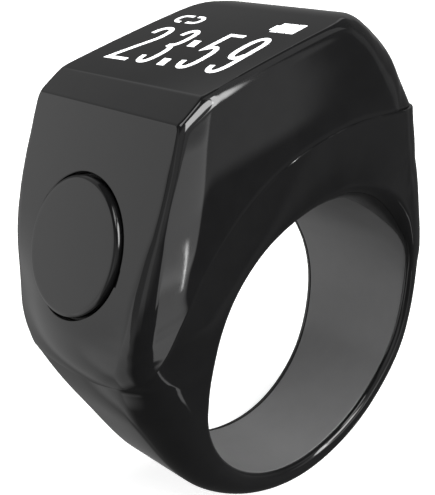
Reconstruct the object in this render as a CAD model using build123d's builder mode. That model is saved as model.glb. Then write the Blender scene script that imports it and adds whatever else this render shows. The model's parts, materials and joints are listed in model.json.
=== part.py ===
from build123d import *
import math
import os

# Digital tasbih counter, the kind worn on a finger: a wide ring with a tall head.
# Frame: origin on the finger axis at mid width. Y runs along the finger, Z points up through
# the display, the push button faces -X and a little up. Millimetres.

# ---------------------------------------------------------------- driving dimensions
bore_r = 10.0            # finger bore
liner_t = 0.50           # sleeve that lines the bore
liner_gap = 0.05         # glue line round the sleeve
lip_w = 0.46             # rim of the ring that wraps over each end of the sleeve
rim_r = 0.36             # rounding of that rim
band_r = 11.5            # outside of the band at its thinnest
wall_t = 1.15            # casing wall
tray_r = 11.75           # floor of the electronics tray above the bore

face_tilt = 32.485       # push-button face, degrees away from vertical
face_x, face_z = -12.744, 13.079     # centre of the button on that face
button_hole_r = 4.35
button_r = 4.20
button_proud = 0.34
button_travel = 0.40     # room left behind the cap for its stroke
flange_r = 4.70          # collar that keeps the cap in its hole
seal_r = 4.31

skin_z = 20.30           # underside of the thinned top over the display
board_z, board_t = 16.30, 0.60
shelf_z = 12.30          # shelf that the battery lies on
battery_t = 2.80
motor_r, motor_t, motor_x, motor_z = 3.0, 2.4, 7.0, 12.70
pad_depth = 5.40         # pad that backs the switch, behind the button face
flex_t = 0.15
wire_r = 0.22
contact_a = 118.0        # direction of the charging contacts, seen along the finger
contact_y, contact_r = 1.60, 0.90
magnet_y, magnet_r = 3.70, 1.00

# half width of the head and of the band at each height (half width, height)
head_width = [(6.20, 3.0), (6.55, 6.0), (6.85, 9.0), (7.05, 12.0), (7.16, 15.0), (7.14, 17.0), (7.06, 18.5), (6.94, 19.8), (6.78, 20.9), (6.68, 21.4)]
band_width = [(3.55, -12.5), (3.98, -10.0), (4.74, -5.0), (5.33, 0.0), (5.77, 5.0), (6.08, 10.0), (6.33, 13.0), (6.52, 15.6)]
# half width in plan, from the nose of the head backwards (distance along X, half width)
nose_plan = [(-15.95, 0.0), (-15.76, 2.2), (-15.36, 3.9), (-14.86, 5.0), (-14.20, 5.8), (-13.40, 6.32), (-12.40, 6.68), (-11.00, 6.98), (-9.00, 7.18), (-7.00, 7.26)]
# line on which head and band meet, in the XZ plane
seam = [(13.4, 12.55), (11.92, 12.95), (9.17, 13.65), (7.07, 14.20), (5.13, 14.65), (2.60, 14.87), (-1.00, 14.73), (-4.00, 13.97), (-6.50, 12.80), (-8.40, 11.60), (-9.70, 10.55), (-10.60, 9.65), (-11.65, 8.50), (-12.47, 7.20), (-13.30, 6.15), (-14.10, 5.52), (-15.10, 5.16), (-16.60, 4.86)]
# outside of the band from the seam at the nose down to where it is round again
band_front = [(-15.00, 5.40), (-14.38, 3.00), (-13.62, 0.65), (-12.32, -2.90), (-10.78, -5.65), (-8.20, -8.28)]

tilt = math.radians(face_tilt)
face_n = Vector(-math.cos(tilt), 0, math.sin(tilt))     # out of the button face
face_u = Vector(math.sin(tilt), 0, math.cos(tilt))      # up the button face
face_c = Vector(face_x, 0, face_z)
button_face = Plane(origin=face_c, x_dir=(0, -1, 0), z_dir=face_n)
contact_e = (math.cos(math.radians(contact_a)), math.sin(math.radians(contact_a)))
contact_axis = Plane(origin=(0, 0, 0), x_dir=(0, 1, 0), z_dir=(contact_e[0], 0, contact_e[1]))


def on_face(depth, up):
    """Point of the XZ plane at a depth behind the button face and a distance up it."""
    p = face_c - face_n * depth + face_u * up
    return (p.X, p.Z)


def polar(r, degrees):
    return (r * math.cos(math.radians(degrees)), r * math.sin(math.radians(degrees)))


def at_contact(r, along):
    """Point of the XZ plane at a height over the contacts and a distance along the finger bore's roof."""
    return (r * contact_e[0] + along * contact_e[1], r * contact_e[1] - along * contact_e[0])


def strip(points, t):
    """Outline of a folded strip: the given line and the same line moved to its left by t."""
    left = []
    for i, p in enumerate(points):
        a = points[i - 1] if i > 0 else p
        b = points[i + 1] if i < len(points) - 1 else p
        d1 = Vector(p[0] - a[0], p[1] - a[1]) if i > 0 else Vector(b[0] - p[0], b[1] - p[1])
        d2 = Vector(b[0] - p[0], b[1] - p[1]) if i < len(points) - 1 else d1
        n1 = Vector(-d1.Y, d1.X).normalized()
        n2 = Vector(-d2.Y, d2.X).normalized()
        m = n1 + n2
        k = 2 * t / m.dot(m)
        left.append((p[0] + m.X * k, p[1] + m.Y * k))
    return points + left[::-1] + [points[0]]


def block(x0, x1, y0, y1, z0, z1, mode=Mode.ADD):
    with Locations(((x0 + x1) / 2, (y0 + y1) / 2, (z0 + z1) / 2)):
        Box(x1 - x0, y1 - y0, z1 - z0, mode=mode)


os.makedirs("parts", exist_ok=True)

# ---------------------------------------------------------------- outline of the head
chin_r = 4.2
chin_top = (-15.12, face_z + (-15.12 - face_x) / math.tan(tilt))
chin_c = (chin_top[0] + chin_r * math.cos(tilt), chin_top[1] - chin_r * math.sin(tilt))
chin_mid = (chin_c[0] + polar(chin_r, 206 - face_tilt)[0], chin_c[1] + polar(chin_r, 206 - face_tilt)[1])
chin_end = (chin_c[0] + polar(chin_r, 232 - face_tilt)[0], chin_c[1] + polar(chin_r, 232 - face_tilt)[1])
chin_foot = (chin_end[0] + 1.0, chin_end[1] - 2.9)
strip_low = (-8.31, face_z + (-8.31 - face_x) / math.tan(tilt))
strip_high = (-6.34, 20.88)
shoulder_x, shoulder_z, shoulder_r = 4.95, 14.95, 6.0
shoulder_top = (shoulder_x, shoulder_z + shoulder_r)
shoulder_mid = (shoulder_x + polar(shoulder_r, 54)[0], shoulder_z + polar(shoulder_r, 54)[1])
shoulder_end = (shoulder_x + polar(shoulder_r, 18)[0], shoulder_z + polar(shoulder_r, 18)[1])
facet_end = (shoulder_end[0] + 6.0 * math.tan(math.radians(18)), shoulder_end[1] - 6.0)

side = Plane.XZ.offset(-9)         # sketches of the side view, run through the full width
front = Plane.YZ.offset(-20)       # sketches of the end view
above = Plane.XY.offset(-15)       # sketches of the plan
slant = Plane(origin=(0, 0, 0), x_dir=(0, 1, 0), z_dir=(-1, 0, 1)).offset(-30)   # sketches seen down the back shoulder

# ---------------------------------------------------------------- room inside the head
with BuildPart() as head_room:
    with BuildSketch(side):
        with BuildLine():
            Polyline(on_face(wall_t, -4.95), on_face(wall_t, 7.15), (-4.95, skin_z), (shoulder_x, skin_z))
            ThreePointArc((shoulder_x, skin_z), (shoulder_x + 3.05, skin_z - 1.10), (shoulder_end[0] - 1.25, shoulder_end[1] - 0.4))
            Polyline((shoulder_end[0] - 1.25, shoulder_end[1] - 0.4), (facet_end[0] - 1.25, facet_end[1] - 0.4), (facet_end[0] - 1.25, 4.0), (-14.1, 4.0), (-14.1, 6.9), on_face(wall_t, -4.95))
        make_face()
    extrude(amount=18)
    with BuildSketch(front):
        with BuildLine():
            Spline(*[(w - wall_t, z) for w, z in head_width])
            Line((head_width[-1][0] - wall_t, head_width[-1][1]), (wall_t - head_width[-1][0], head_width[-1][1]))
            Spline(*[(wall_t - w, z) for w, z in reversed(head_width)])
            Line((wall_t - head_width[0][0], head_width[0][1]), (head_width[0][0] - wall_t, head_width[0][1]))
        make_face()
    extrude(amount=40, mode=Mode.INTERSECT)
    with BuildSketch(above):
        with BuildLine():
            Spline(*[(x + 0.95, 0.8 - w) for x, w in reversed(nose_plan[1:])], (nose_plan[0][0] + 1.2, 0), *[(x + 0.95, w - 0.8) for x, w in nose_plan[1:]])
            Polyline((nose_plan[-1][0] + 0.95, nose_plan[-1][1] - 0.8), (8.6, 6.32), (11.2, 4.2), (11.2, -4.2), (8.6, -6.32), (nose_plan[-1][0] + 0.95, 0.8 - nose_plan[-1][1]))
        make_face()
    extrude(amount=60, mode=Mode.INTERSECT)

# ---------------------------------------------------------------- upper housing (head)
with BuildPart() as upper_housing:
    with BuildSketch(side):
        with BuildLine():
            Line(chin_foot, chin_end)
            ThreePointArc(chin_end, chin_mid, chin_top)
            Line(chin_top, strip_low)
            Line(strip_low, strip_high)
            ThreePointArc(strip_high, (-1.0, 21.04), shoulder_top)
            ThreePointArc(shoulder_top, shoulder_mid, shoulder_end)
            Line(shoulder_end, facet_end)
            Line(facet_end, chin_foot)
        make_face()
    extrude(amount=18)
    # flanks: widest at mid height, drawn in a little towards the top edge
    with BuildSketch(front):
        with BuildLine():
            Spline(*head_width)
            Line(head_width[-1], (-head_width[-1][0], head_width[-1][1]))
            Spline(*[(-w, z) for w, z in reversed(head_width)])
            Line((-head_width[0][0], head_width[0][1]), head_width[0])
        make_face()
    extrude(amount=40, mode=Mode.INTERSECT)
    # plan: the nose narrows towards the button, the back corners are rounded
    with BuildSketch(above):
        with BuildLine():
            Spline(*[(x, -w) for x, w in reversed(nose_plan[1:])], (nose_plan[0][0], 0), *nose_plan[1:])
            Line(nose_plan[-1], (9.7, 7.26))
            ThreePointArc((9.7, 7.26), (11.5, 6.38), (12.3, 4.50))
            Line((12.3, 4.50), (12.3, -4.50))
            ThreePointArc((12.3, -4.50), (11.5, -6.38), (9.7, -7.26))
            Line((9.7, -7.26), (nose_plan[-1][0], -nose_plan[-1][1]))
        make_face()
    extrude(amount=60, mode=Mode.INTERSECT)
    # back shoulder: its side edges are rounded off
    with BuildSketch(slant):
        with BuildLine():
            Polyline((7.26, -17.6), (7.26, 30), (-7.26, 30), (-7.26, -17.6))
            ThreePointArc((-7.26, -17.6), (-6.48, -19.32), (-4.70, -20.04))
            Line((-4.70, -20.04), (4.70, -20.04))
            ThreePointArc((4.70, -20.04), (6.48, -19.32), (7.26, -17.6))
        make_face()
    extrude(amount=60, mode=Mode.INTERSECT)
    # only what lies above the seam
    with BuildSketch(side):
        with BuildLine():
            Spline(*seam)
            Polyline(seam[-1], (-20, 5), (-20, 24), (15, 24), (15, 12), seam[0])
        make_face()
    extrude(amount=18, mode=Mode.INTERSECT)
    add(head_room.part, mode=Mode.SUBTRACT)
    # rails along the flanks that the main board is glued to
    block(-5.0, 6.5, 5.30, 6.20, board_z - 0.60, board_z)
    block(-5.0, 6.5, -6.20, -5.30, board_z - 0.60, board_z)
    # hole for the push button
    with BuildSketch(button_face.offset(1.0)):
        Circle(button_hole_r)
    extrude(amount=-2.6, mode=Mode.SUBTRACT)
upper_housing.part.label = "upper_housing"
export_step(upper_housing.part, "parts/upper_housing.step")

# ---------------------------------------------------------------- ring body (band and tray)
with BuildPart() as tray_room:
    with BuildSketch(side):
        with BuildLine():
            Polyline((-12.9, 9.0), (-12.9, 7.2), on_face(pad_depth, -5.2), on_face(pad_depth, 0.0), polar(tray_r, 128))
            ThreePointArc(polar(tray_r, 128), polar(tray_r, 118), polar(tray_r, 107))
            Polyline(polar(tray_r, 107), (-3.30, shelf_z), (6.45, shelf_z), (6.70, 9.66), (9.60, 9.66), (9.60, 16.0), (-6.0, 16.0), (-12.9, 9.0))
        make_face()
    extrude(amount=18)
    with BuildSketch(front):
        with BuildLine():
            Spline(*[(w - wall_t, z) for w, z in band_width])
            Line((band_width[-1][0] - wall_t, band_width[-1][1]), (wall_t - band_width[-1][0], band_width[-1][1]))
            Spline(*[(wall_t - w, z) for w, z in reversed(band_width)])
            Line((wall_t - band_width[0][0], band_width[0][1]), (band_width[0][0] - wall_t, band_width[0][1]))
        make_face()
    extrude(amount=40, mode=Mode.INTERSECT)

with BuildPart() as liner_seat:
    with BuildSketch(side):
        Circle(bore_r + liner_t + liner_gap)
    extrude(amount=18)
    with BuildSketch(front):
        with BuildLine():
            Spline(*[(w - lip_w, z) for w, z in band_width])
            Line((band_width[-1][0] - lip_w, band_width[-1][1]), (lip_w - band_width[-1][0], band_width[-1][1]))
            Spline(*[(lip_w - w, z) for w, z in reversed(band_width)])
            Line((lip_w - band_width[0][0], band_width[0][1]), (band_width[0][0] - lip_w, band_width[0][1]))
        make_face()
    extrude(amount=40, mode=Mode.INTERSECT)

with BuildPart() as ring_body:
    with BuildSketch(side):
        with BuildLine():
            round_from = polar(band_r, 245)
            round_to = polar(band_r, 347)
            Spline(*band_front, round_from, tangents=[(0.24, -1.0), (math.sin(math.radians(65)), -math.cos(math.radians(65)))])
            ThreePointArc(round_from, polar(band_r, 296), round_to)
            back_c = (round_to[0] - polar(30, -13)[0], round_to[1] - polar(30, -13)[1])
            ThreePointArc(round_to, (back_c[0] + polar(30, -6.5)[0], back_c[1] + polar(30, -6.5)[1]), (back_c[0] + 30, back_c[1]))
            Polyline((back_c[0] + 30, back_c[1]), (11.94, 13.6), (5.0, 17.0), (-6.0, 15.0), (-14.6, 7.0), band_front[0])
        make_face()
    extrude(amount=18)
    with BuildSketch(front):
        with BuildLine():
            Spline(*band_width)
            Line(band_width[-1], (-band_width[-1][0], band_width[-1][1]))
            Spline(*[(-w, z) for w, z in reversed(band_width)])
            Line((-band_width[0][0], band_width[0][1]), band_width[0])
        make_face()
    extrude(amount=40, mode=Mode.INTERSECT)
    with BuildSketch(above):
        with BuildLine():
            Spline(*[(x + 0.15, 0.15 - w) for x, w in reversed(nose_plan[1:])], (nose_plan[0][0] + 0.15, 0), *[(x + 0.15, w - 0.15) for x, w in nose_plan[1:]])
            Polyline((nose_plan[-1][0] + 0.15, nose_plan[-1][1] - 0.15), (15, 7.11), (15, -7.11), (nose_plan[-1][0] + 0.15, 0.15 - nose_plan[-1][1]))
        make_face()
    extrude(amount=60, mode=Mode.INTERSECT)
    # only what lies below the seam
    with BuildSketch(side):
        with BuildLine():
            Spline(*seam)
            Polyline(seam[-1], (-20, 4), (-20, -16), (18, -16), (18, 12), seam[0])
        make_face()
    extrude(amount=18, mode=Mode.INTERSECT)
    # finger bore and its rounded rims
    with BuildSketch(side):
        Circle(bore_r)
    extrude(amount=18, mode=Mode.SUBTRACT)
    fillet([e for e in ring_body.edges() if all(abs(math.hypot((e @ u).X, (e @ u).Z) - bore_r) < 0.01 for u in (0.1, 0.3, 0.5, 0.7, 0.9)) and abs((e @ 0.3).Y - (e @ 0.7).Y) < 4], radius=rim_r)
    add(tray_room.part, mode=Mode.SUBTRACT)
    add(liner_seat.part, mode=Mode.SUBTRACT)
    # holes for the charging contacts, and pockets for the magnets beside them
    with BuildSketch(contact_axis.offset(9.0)):
        with Locations((contact_y, 0), (-contact_y, 0)):
            Circle(contact_r + 0.03)
    extrude(amount=3.2, mode=Mode.SUBTRACT)
    with BuildSketch(contact_axis.offset(tray_r - 0.98)):
        with Locations((magnet_y, 0), (-magnet_y, 0)):
            Circle(magnet_r + 0.05)
    extrude(amount=2.0, mode=Mode.SUBTRACT)
ring_body.part.label = "ring_body"
export_step(ring_body.part, "parts/ring_body.step")

# ---------------------------------------------------------------- sleeve in the bore
with BuildPart() as inner_liner:
    with BuildSketch(side):
        Circle(bore_r + liner_t)
        Circle(bore_r, mode=Mode.SUBTRACT)
    extrude(amount=18)
    with BuildSketch(front):
        with BuildLine():
            Spline(*[(w - lip_w - 0.03, z) for w, z in band_width])
            Line((band_width[-1][0] - lip_w - 0.03, band_width[-1][1]), (lip_w + 0.03 - band_width[-1][0], band_width[-1][1]))
            Spline(*[(lip_w + 0.03 - w, z) for w, z in reversed(band_width)])
            Line((lip_w + 0.03 - band_width[0][0], band_width[0][1]), (band_width[0][0] - lip_w - 0.03, band_width[0][1]))
        make_face()
    extrude(amount=40, mode=Mode.INTERSECT)
    with BuildSketch(contact_axis.offset(9.0)):
        with Locations((contact_y, 0), (-contact_y, 0)):
            Circle(contact_r + 0.03)
    extrude(amount=3.0, mode=Mode.SUBTRACT)
inner_liner.part.label = "inner_liner"
export_step(inner_liner.part, "parts/inner_liner.step")

# ---------------------------------------------------------------- push button
with BuildPart() as button_cap:
    with BuildSketch(button_face.offset(button_proud)):
        Circle(button_r)
    extrude(amount=-(button_proud + 1.25))
    fillet(button_cap.faces().sort_by(Axis(face_c, face_n))[-1].edges(), radius=0.28)
    # groove for the seal
    with BuildSketch(button_face.offset(-0.45)):
        Circle(button_r + 0.5)
        Circle(3.95, mode=Mode.SUBTRACT)
    extrude(amount=-0.40, mode=Mode.SUBTRACT)
    # collar behind the casing wall, and the stem that reaches the switch
    with BuildSketch(button_face.offset(-1.25)):
        Circle(flange_r)
    extrude(amount=-0.50)
    with BuildSketch(button_face.offset(-1.75)):
        Circle(1.20)
    extrude(amount=-0.60)
button_cap.part.label = "button_cap"
export_step(button_cap.part, "parts/button_cap.step")

with BuildPart() as button_seal:
    with BuildSketch(button_face.offset(-0.45)):
        Circle(seal_r)
        Circle(3.95, mode=Mode.SUBTRACT)
    extrude(amount=-0.40)
button_seal.part.label = "button_seal"
export_step(button_seal.part, "parts/button_seal.step")

# ---------------------------------------------------------------- tactile switch behind the button
with BuildPart() as switch_plunger:
    with BuildSketch(button_face.offset(-2.40)):
        Circle(0.90)
    extrude(amount=-0.72)
    with BuildSketch(button_face.offset(-3.10)):
        Circle(1.25)
    extrude(amount=-0.16)
switch_plunger.part.label = "switch_plunger"
export_step(switch_plunger.part, "parts/switch_plunger.step")

with BuildPart() as switch_body:
    with BuildSketch(button_face.offset(-2.85)):
        Rectangle(4.0, 4.0)
        Circle(0.96, mode=Mode.SUBTRACT)
    extrude(amount=-0.20)
    with BuildSketch(button_face.offset(-3.05)):
        Rectangle(4.0, 4.0)
        Circle(1.55, mode=Mode.SUBTRACT)
    extrude(amount=-0.95)
    with BuildSketch(button_face.offset(-4.00)):
        Rectangle(4.0, 4.0)
    extrude(amount=-0.20)
switch_body.part.label = "switch_body"
export_step(switch_body.part, "parts/switch_body.step")

with BuildPart() as snap_dome:
    with Locations(button_face.offset(-4.00)):
        Cone(1.45, 0.55, 0.28, align=(Align.CENTER, Align.CENTER, Align.MIN))
    with Locations(button_face.offset(-4.00)):
        Cone(1.33, 0.43, 0.20, align=(Align.CENTER, Align.CENTER, Align.MIN), mode=Mode.SUBTRACT)
snap_dome.part.label = "snap_dome"
export_step(snap_dome.part, "parts/snap_dome.step")

with BuildPart() as switch_terminals:
    with BuildSketch(button_face.offset(-4.00)):
        with Locations((2.3, 1.3), (2.3, -1.3), (-2.3, 1.3), (-2.3, -1.3)):
            Rectangle(0.6, 0.8)
    extrude(amount=-0.20)
switch_terminals.part.label = "switch_terminals"
export_step(switch_terminals.part, "parts/switch_terminals.step")

with BuildPart() as switch_board:
    with BuildSketch(button_face.offset(-4.20)):
        Rectangle(6.0, 7.2)
    extrude(amount=-0.60)
switch_board.part.label = "switch_board"
export_step(switch_board.part, "parts/switch_board.step")

with BuildPart() as switch_bracket:
    with BuildSketch(button_face.offset(-4.80)):
        Rectangle(6.6, 7.2)
    extrude(amount=-(pad_depth - 4.80))
    with BuildSketch(button_face.offset(-4.20)):
        with Locations((3.17, 0), (-3.17, 0)):
            Rectangle(0.26, 5.0)
    extrude(amount=-0.60)
switch_bracket.part.label = "switch_bracket"
export_step(switch_bracket.part, "parts/switch_bracket.step")

with BuildPart() as switch_flex:
    with BuildSketch(Plane.XZ.offset(-1.5)):
        with BuildLine():
            Polyline(*strip([on_face(4.60, 3.6), on_face(4.60, 4.7), (-6.20, board_z - flex_t), (-5.10, board_z - flex_t)], flex_t))
        make_face()
    extrude(amount=3.0)
switch_flex.part.label = "switch_flex"
export_step(switch_flex.part, "parts/switch_flex.step")

# ---------------------------------------------------------------- display
with BuildPart() as display_adhesive:
    block(-4.6, 4.6, -5.1, 5.1, skin_z - 0.10, skin_z)
display_adhesive.part.label = "display_adhesive"
export_step(display_adhesive.part, "parts/display_adhesive.step")

with BuildPart() as oled_panel:
    block(-4.6, 4.6, -5.1, 5.1, skin_z - 1.10, skin_z - 0.10)
oled_panel.part.label = "oled_panel"
export_step(oled_panel.part, "parts/oled_panel.step")

with BuildPart() as display_bracket:
    block(-5.4, 5.6, -5.5, 5.5, 18.10, skin_z - 1.10)
    block(-4.2, 4.2, -4.7, 4.7, 17.0, 20.0, mode=Mode.SUBTRACT)
    for bx in (-5.0, 5.2):
        for by in (-5.1, 5.1):
            block(bx - 0.4, bx + 0.4, by - 0.4, by + 0.4, board_z + board_t, 18.10)
display_bracket.part.label = "display_bracket"
export_step(display_bracket.part, "parts/display_bracket.step")

with BuildPart() as display_flex:
    with BuildSketch(Plane.XZ.offset(-3.0)):
        with BuildLine():
            Polyline(*strip([(7.30, board_z + board_t), (6.20, board_z + board_t), (6.20, 19.45), (4.60, 19.45)], -flex_t))
        make_face()
    extrude(amount=6.0)
display_flex.part.label = "display_flex"
export_step(display_flex.part, "parts/display_flex.step")

# ---------------------------------------------------------------- main board and what is on it
board_top = board_z + board_t
with BuildPart() as main_board:
    block(-7.0, 8.2, -5.5, 5.5, board_z, board_top)
main_board.part.label = "main_board"
export_step(main_board.part, "parts/main_board.step")

with BuildPart() as processor_chip:
    block(-2.3, 2.3, -2.3, 2.3, board_top, board_top + 0.85)
processor_chip.part.label = "processor_chip"
export_step(processor_chip.part, "parts/processor_chip.step")

with BuildPart() as memory_chip:
    block(-5.2, -3.0, -1.6, 1.6, board_top, board_top + 0.75)
memory_chip.part.label = "memory_chip"
export_step(memory_chip.part, "parts/memory_chip.step")

with BuildPart() as charger_chip:
    block(0.0, 3.0, -1.5, 1.5, board_z - 0.80, board_z)
charger_chip.part.label = "charger_chip"
export_step(charger_chip.part, "parts/charger_chip.step")

with BuildPart() as radio_crystal:
    block(2.9, 4.5, -4.3, -3.2, board_top, board_top + 0.55)
radio_crystal.part.label = "radio_crystal"
export_step(radio_crystal.part, "parts/radio_crystal.step")

with BuildPart() as chip_antenna:
    block(-6.8, -5.7, -2.6, 2.6, board_top, board_top + 0.80)
chip_antenna.part.label = "chip_antenna"
export_step(chip_antenna.part, "parts/chip_antenna.step")

with BuildPart() as board_passives:
    for bx, by in ((-3.6, 3.4), (-2.2, 3.4), (-0.8, 3.4), (0.6, 3.4), (2.0, 3.4), (3.4, 2.4), (3.4, 1.0), (-3.6, -3.4), (-2.2, -3.4), (-0.8, -3.4), (0.6, -3.4)):
        block(bx - 0.5, bx + 0.5, by - 0.25, by + 0.25, board_top, board_top + 0.45)
board_passives.part.label = "board_passives"
export_step(board_passives.part, "parts/board_passives.step")

# ---------------------------------------------------------------- battery
with BuildPart() as battery_pad:
    block(-2.9, 6.1, -4.4, 4.4, shelf_z, shelf_z + 0.30)
battery_pad.part.label = "battery_pad"
export_step(battery_pad.part, "parts/battery_pad.step")

with BuildPart() as battery_cell:
    block(-3.0, 6.2, -4.5, 4.5, shelf_z + 0.30, shelf_z + 0.30 + battery_t)
    fillet(battery_cell.edges().filter_by(Axis.Y), radius=0.6)
battery_cell.part.label = "battery_cell"
export_step(battery_cell.part, "parts/battery_cell.step")

# ---------------------------------------------------------------- coin motor for the silent alert
with BuildPart() as vibration_motor:
    with BuildSketch(Plane.YZ.offset(motor_x)):
        with Locations((0, motor_z)):
            Circle(motor_r)
    extrude(amount=motor_t)
vibration_motor.part.label = "vibration_motor"
export_step(vibration_motor.part, "parts/vibration_motor.step")

with BuildPart() as motor_pad:
    with BuildSketch(Plane.YZ.offset(motor_x + motor_t)):
        with Locations((0, motor_z)):
            Circle(motor_r - 0.5)
    extrude(amount=0.20)
motor_pad.part.label = "motor_pad"
export_step(motor_pad.part, "parts/motor_pad.step")

# ---------------------------------------------------------------- charging contacts in the roof of the bore
with BuildPart() as charge_contacts:
    with BuildSketch(contact_axis.offset(bore_r + 0.06)):
        with Locations((contact_y, 0), (-contact_y, 0)):
            Circle(contact_r)
    extrude(amount=tray_r - bore_r - 0.06)
    with BuildSketch(contact_axis.offset(tray_r)):
        with Locations((contact_y, 0), (-contact_y, 0)):
            Circle(contact_r + 0.30)
    extrude(amount=0.35)
    with BuildSketch(contact_axis.offset(tray_r + 0.35)):
        with Locations((contact_y, 0), (-contact_y, 0)):
            Circle(0.40)
    extrude(amount=0.50)
charge_contacts.part.label = "charge_contacts"
export_step(charge_contacts.part, "parts/charge_contacts.step")

with BuildPart() as charge_magnets:
    with BuildSketch(contact_axis.offset(tray_r - 0.98)):
        with Locations((magnet_y, 0), (-magnet_y, 0)):
            Circle(magnet_r)
    extrude(amount=0.95)
charge_magnets.part.label = "charge_magnets"
export_step(charge_magnets.part, "parts/charge_magnets.step")

with BuildPart() as contact_flex:
    with BuildSketch(Plane.XZ.offset(-2.4)):
        with BuildLine():
            Polyline(*strip([at_contact(tray_r + 0.35, -1.2), at_contact(tray_r + 0.35, 1.3), (-4.533, board_z - flex_t), (-3.70, board_z - flex_t)], flex_t))
        make_face()
    extrude(amount=4.8)
    with BuildSketch(contact_axis.offset(tray_r)):
        with Locations((contact_y, 0), (-contact_y, 0)):
            Circle(0.43)
    extrude(amount=1.2, mode=Mode.SUBTRACT)
contact_flex.part.label = "contact_flex"
export_step(contact_flex.part, "parts/contact_flex.step")

# ---------------------------------------------------------------- wires
with BuildPart() as battery_leads:
    for wy in (3.1, 3.9):
        with BuildLine():
            lead = FilletPolyline((-3.0, wy, 14.4), (-3.62, wy, 14.4), (-3.62, wy, board_z), radius=0.40)
        with BuildSketch(Plane(origin=(-3.0, wy, 14.4), z_dir=(-1, 0, 0))):
            Circle(wire_r)
        sweep()
battery_leads.part.label = "battery_leads"
export_step(battery_leads.part, "parts/battery_leads.step")

with BuildPart() as motor_leads:
    with BuildSketch(Plane.XY.offset(motor_z + motor_r - 0.02)):
        with Locations((7.75, 0.6), (7.75, -0.6)):
            Circle(wire_r)
    extrude(amount=board_z - motor_z - motor_r + 0.02)
motor_leads.part.label = "motor_leads"
export_step(motor_leads.part, "parts/motor_leads.step")
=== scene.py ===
import json
import math

import bpy
import numpy as np
from mathutils import Matrix, Vector
from mathutils.geometry import delaunay_2d_cdt


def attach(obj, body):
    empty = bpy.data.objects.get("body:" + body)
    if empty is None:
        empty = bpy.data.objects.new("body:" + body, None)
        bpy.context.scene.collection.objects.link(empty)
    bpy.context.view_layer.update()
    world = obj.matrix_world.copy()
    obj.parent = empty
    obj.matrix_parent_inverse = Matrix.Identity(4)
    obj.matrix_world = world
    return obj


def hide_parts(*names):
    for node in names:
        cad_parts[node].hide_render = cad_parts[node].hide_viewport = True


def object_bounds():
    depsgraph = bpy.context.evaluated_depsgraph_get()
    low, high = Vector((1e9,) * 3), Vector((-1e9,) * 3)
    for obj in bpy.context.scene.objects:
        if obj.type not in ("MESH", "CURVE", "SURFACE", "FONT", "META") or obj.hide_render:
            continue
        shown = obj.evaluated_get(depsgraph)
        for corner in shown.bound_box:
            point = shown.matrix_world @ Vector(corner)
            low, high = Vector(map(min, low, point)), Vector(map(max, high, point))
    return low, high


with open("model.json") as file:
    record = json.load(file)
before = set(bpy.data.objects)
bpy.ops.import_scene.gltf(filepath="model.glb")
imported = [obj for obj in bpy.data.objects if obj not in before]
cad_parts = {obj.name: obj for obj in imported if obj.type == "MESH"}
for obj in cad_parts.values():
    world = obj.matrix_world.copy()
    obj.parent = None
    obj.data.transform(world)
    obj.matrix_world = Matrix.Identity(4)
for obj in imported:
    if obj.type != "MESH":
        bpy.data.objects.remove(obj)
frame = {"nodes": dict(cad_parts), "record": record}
cad_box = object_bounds()
scene = bpy.context.scene
MM = 0.001

# ------------------------------------------------------------------ camera
cam_data = bpy.data.cameras.new("camera")
cam = bpy.data.objects.new("camera", cam_data)
scene.collection.objects.link(cam)
right, up, back = Vector((0.7143, -0.6740, -0.1885)), Vector((0.4584, 0.2471, 0.8537)), Vector((-0.5288, -0.6962, 0.4855))
cam.matrix_world = Matrix.Translation(Vector((-37.140, -45.632, 39.342)) * MM) @ Matrix((right, up, back)).transposed().to_4x4()
cam_data.sensor_fit = "VERTICAL"
cam_data.sensor_height = 36.0
cam_data.sensor_width = 36.0
cam_data.lens = 71.36
cam_data.shift_x, cam_data.shift_y = -0.0020, -0.0017
cam_data.clip_start, cam_data.clip_end = 0.001, 20.0
scene.camera = cam


# ------------------------------------------------------------------ smooth tables
def spline(xs, ys):
    """Natural cubic through the given values."""
    xs, ys = np.array(xs, float), np.array(ys, float)
    n, h = len(xs), np.diff(xs)
    a, r = np.zeros((n, n)), np.zeros(n)
    a[0, 0] = a[-1, -1] = 1
    for i in range(1, n - 1):
        a[i, i - 1], a[i, i], a[i, i + 1] = h[i - 1], 2 * (h[i - 1] + h[i]), h[i]
        r[i] = 3 * ((ys[i + 1] - ys[i]) / h[i] - (ys[i] - ys[i - 1]) / h[i - 1])
    c = np.linalg.solve(a, r)

    def f(x):
        x = np.clip(x, xs[0], xs[-1])
        i = np.clip(np.searchsorted(xs, x) - 1, 0, n - 2)
        d = x - xs[i]
        b = (ys[i + 1] - ys[i]) / h[i] - h[i] * (2 * c[i] + c[i + 1]) / 3
        return ys[i] + d * (b + d * (c[i] + d * (c[i + 1] - c[i]) / (3 * h[i])))

    return f


def table(pairs):
    """Monotone cubic through (x, value) pairs: no overshoot."""
    xs, ys = np.array([p[0] for p in pairs], float), np.array([p[1] for p in pairs], float)
    h, m = np.diff(xs), np.diff(ys) / np.diff(xs)
    d = np.zeros(len(xs))
    d[0], d[-1] = m[0], m[-1]
    for i in range(1, len(xs) - 1):
        if m[i - 1] * m[i] > 0:
            w1, w2 = 2 * h[i] + h[i - 1], h[i] + 2 * h[i - 1]
            d[i] = (w1 + w2) / (w1 / m[i - 1] + w2 / m[i])

    def f(x):
        x = np.clip(x, xs[0], xs[-1])
        i = np.clip(np.searchsorted(xs, x) - 1, 0, len(xs) - 2)
        t = (x - xs[i]) / h[i]
        return ((1 + 2 * t) * (1 - t) ** 2 * ys[i] + t * (1 - t) ** 2 * h[i] * d[i]
                + t * t * (3 - 2 * t) * ys[i + 1] + t * t * (t - 1) * h[i] * d[i + 1])

    return f


def round_table(pairs):
    """The same, going round in degrees."""
    return_pairs = [(a - 360, v) for a, v in pairs] + pairs + [(a + 360, v) for a, v in pairs]
    f = table(return_pairs)
    return lambda deg: f(np.mod(deg + 180.0, 360.0) - 180.0)


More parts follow.
